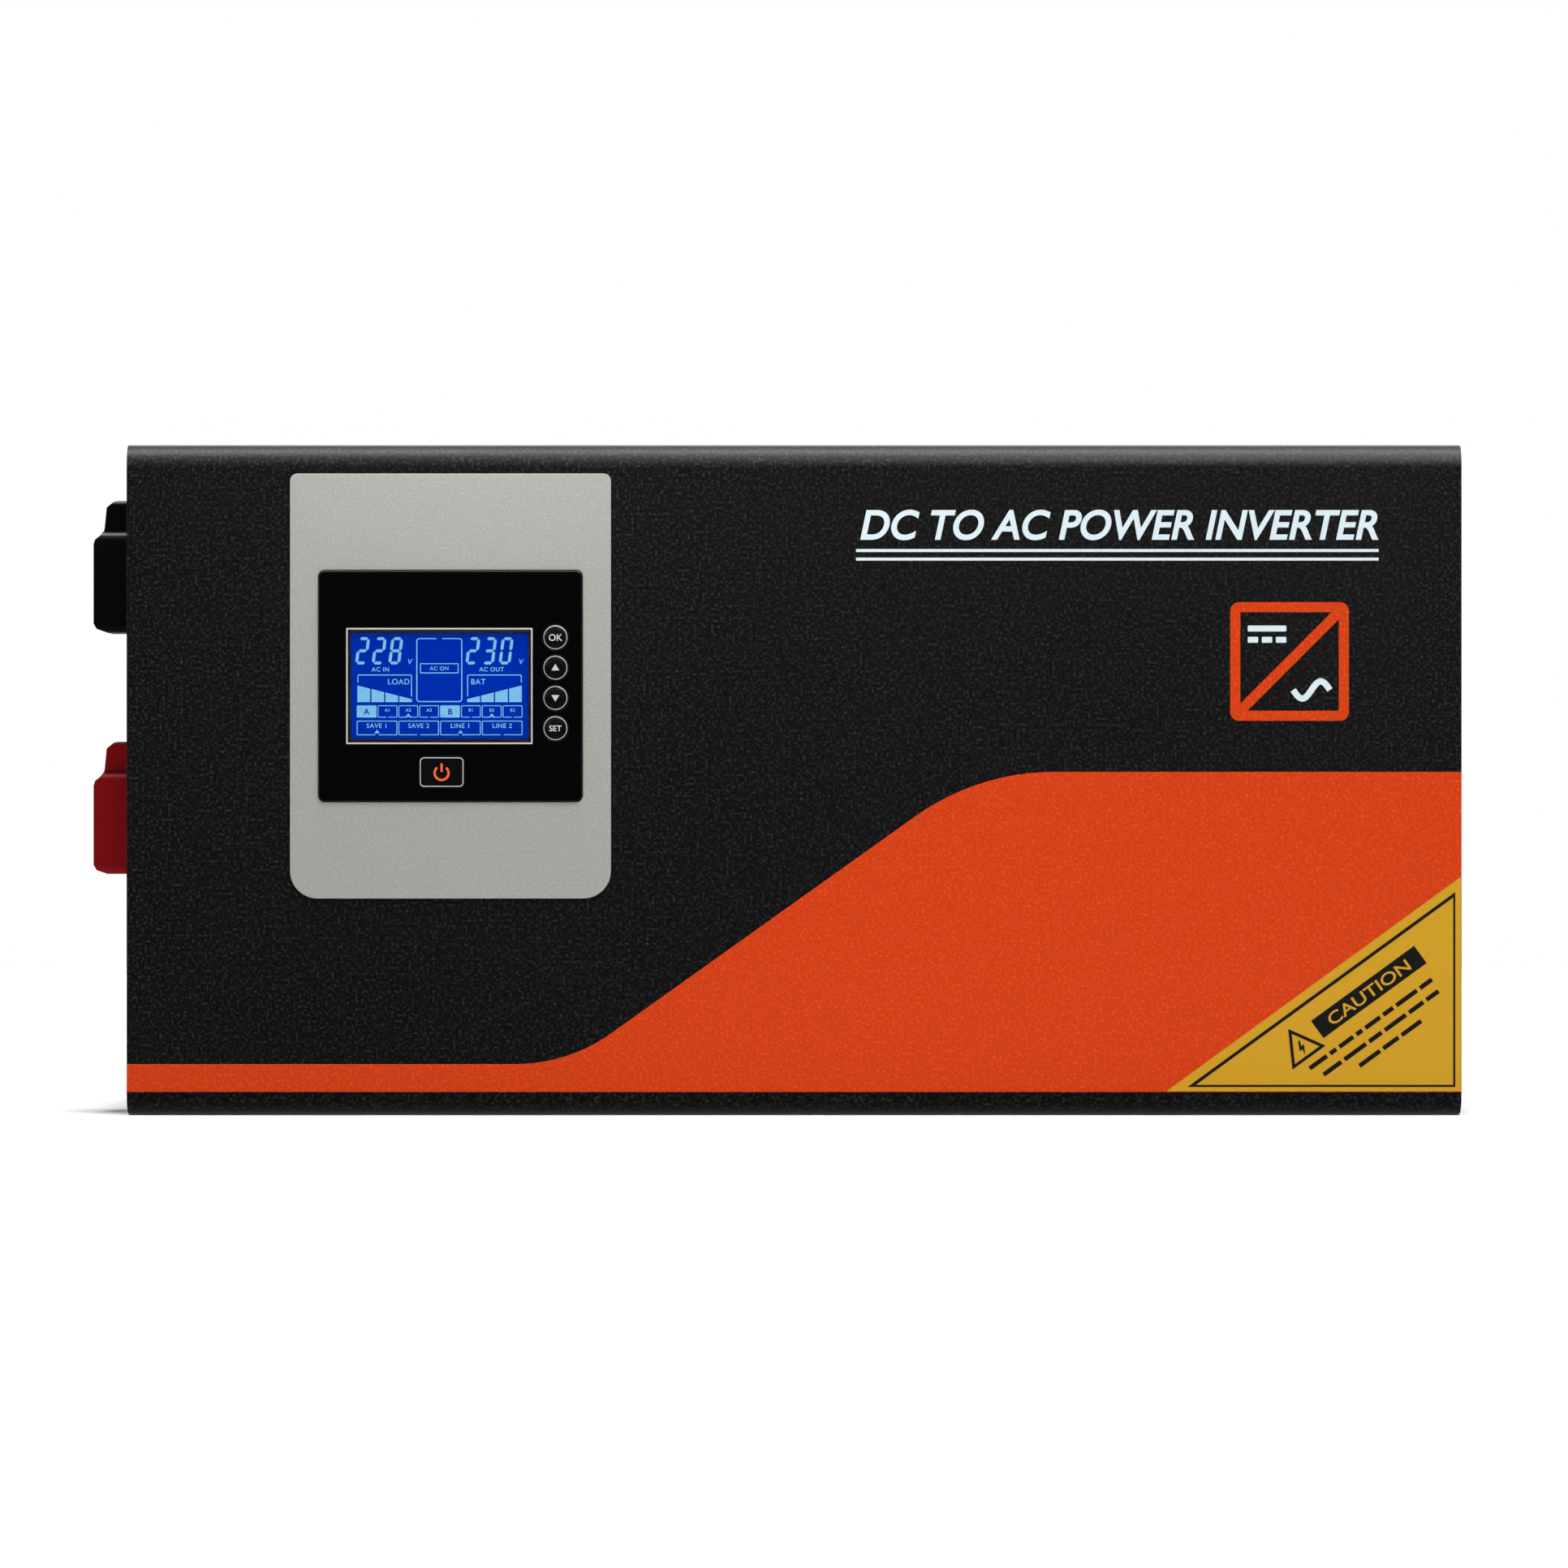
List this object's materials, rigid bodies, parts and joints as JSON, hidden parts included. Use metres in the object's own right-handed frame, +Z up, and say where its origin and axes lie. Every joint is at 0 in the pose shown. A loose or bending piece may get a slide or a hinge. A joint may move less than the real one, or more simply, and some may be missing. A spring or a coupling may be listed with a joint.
{
  "type": "power inverter",
  "caption": "Wall or shelf power inverter: folded steel case, front display with keys, battery posts under boots, mains outlets, inlet, breaker and cooling fans.",
  "frame": {"origin": "middle of the underside of the case, on the shelf that it stands on", "axes": "+X to the right along the front, +Y from the front towards the wall, +Z up"},
  "size_m": [0.463, 0.1829, 0.226],
  "materials": {
    "black_steel": "satin",
    "orange_print": "satin",
    "yellow_print": "satin",
    "black_print": "satin",
    "pale_print": "satin",
    "silver_plate": "satin",
    "gloss_black": "gloss",
    "key_cap": "satin",
    "white_line": "satin",
    "clear_window": "gloss",
    "lcd_blue": "satin",
    "lcd_segments": "satin",
    "circuit_board": "satin",
    "black_plastic": "satin",
    "red_plastic": "satin",
    "black_vinyl": "satin",
    "red_vinyl": "satin",
    "fan_plastic": "satin",
    "chrome_wire": "polished",
    "brass": "satin",
    "copper_bar": "satin",
    "zinc_screw": "satin",
    "zinc_plate": "satin",
    "rubber_pad": "matte",
    "winding": "satin",
    "heat_sink": "satin",
    "capacitor_sleeve": "satin",
    "relay_case": "satin",
    "ribbon_cable": "matte"
  },
  "bodies": {
    "case": {"cover": "black_steel", "chassis": "black_steel", "left_end_panel": "black_steel", "right_end_panel": "black_steel", "cover_screw_top_left": "zinc_screw", "cover_screw_top_right": "zinc_screw", "cover_screw_bottom_left": "zinc_screw", "cover_screw_bottom_right": "zinc_screw", "front_label": "silver_plate", "display_bezel": "gloss_black", "window_trim": "white_line", "display_window": "clear_window", "lcd_module": "lcd_blue", "display_board": "circuit_board", "terminal_base_negative": "black_plastic", "terminal_stud_negative": "brass", "terminal_nut_negative": "zinc_screw", "terminal_base_positive": "red_plastic", "terminal_stud_positive": "brass", "terminal_nut_positive": "zinc_screw", "fan_frame_left": "fan_plastic", "fan_guard_left": "chrome_wire", "fan_frame_right": "fan_plastic", "fan_guard_right": "chrome_wire", "ac_outlet_1": "black_plastic", "outlet_earth_strap_1": "brass", "ac_outlet_2": "black_plastic", "outlet_earth_strap_2": "brass", "ac_inlet": "black_plastic", "breaker_body": "black_plastic", "breaker_nut": "zinc_screw", "data_port": "black_plastic", "earth_bolt": "brass", "earth_nut": "zinc_screw", "transformer_pad": "rubber_pad", "transformer_winding": "winding", "transformer_dish": "zinc_plate", "transformer_bolt": "zinc_plate", "main_board": "circuit_board", "heat_sink_upper": "heat_sink", "heat_sink_lower": "heat_sink", "bulk_capacitor_1": "capacitor_sleeve", "bulk_capacitor_2": "capacitor_sleeve", "transfer_relay_1": "relay_case", "transfer_relay_2": "relay_case", "filter_choke": "winding", "control_board": "circuit_board", "display_ribbon": "ribbon_cable", "busbar_negative": "copper_bar", "busbar_positive": "copper_bar"},
    "enter_key": {"key_enter": "key_cap"},
    "up_key": {"key_up": "key_cap"},
    "down_key": {"key_down": "key_cap"},
    "mode_key": {"key_mode": "key_cap"},
    "power_key": {"key_power": "key_cap"},
    "left_rotor": {"fan_rotor_left": "fan_plastic"},
    "right_rotor": {"fan_rotor_right": "fan_plastic"},
    "negative_boot": {"terminal_boot_negative": "black_vinyl"},
    "positive_boot": {"terminal_boot_positive": "red_vinyl"},
    "reset_button": {"breaker_button": "red_plastic"}
  },
  "joints": [
    {"name": "enter_key_press", "type": "slide", "parent": "case", "child": "enter_key", "axis": [0, 1, 0], "range_m": [0, 0.0006], "stiffness_N_per_m": 800},
    {"name": "up_key_press", "type": "slide", "parent": "case", "child": "up_key", "axis": [0, 1, 0], "range_m": [0, 0.0006], "stiffness_N_per_m": 800},
    {"name": "down_key_press", "type": "slide", "parent": "case", "child": "down_key", "axis": [0, 1, 0], "range_m": [0, 0.0006], "stiffness_N_per_m": 800},
    {"name": "mode_key_press", "type": "slide", "parent": "case", "child": "mode_key", "axis": [0, 1, 0], "range_m": [0, 0.0006], "stiffness_N_per_m": 800},
    {"name": "power_key_press", "type": "slide", "parent": "case", "child": "power_key", "axis": [0, 1, 0], "range_m": [0, 0.0006], "stiffness_N_per_m": 800},
    {"name": "left_fan_spin", "type": "hinge", "parent": "case", "child": "left_rotor", "pos_m": [-0.198, 0.03, 0.113], "axis": [1, 0, 0], "continuous": true},
    {"name": "right_fan_spin", "type": "hinge", "parent": "case", "child": "right_rotor", "pos_m": [0.198, 0.034, 0.158], "axis": [1, 0, 0], "continuous": true},
    {"name": "negative_boot_pull", "type": "slide", "parent": "case", "child": "negative_boot", "axis": [-1, 0, 0], "range_m": [0, 0.03]},
    {"name": "positive_boot_pull", "type": "slide", "parent": "case", "child": "positive_boot", "axis": [-1, 0, 0], "range_m": [0, 0.03]},
    {"name": "reset_button_trip", "type": "slide", "parent": "case", "child": "reset_button", "axis": [1, 0, 0], "range_m": [0, 0.005]}
  ]
}
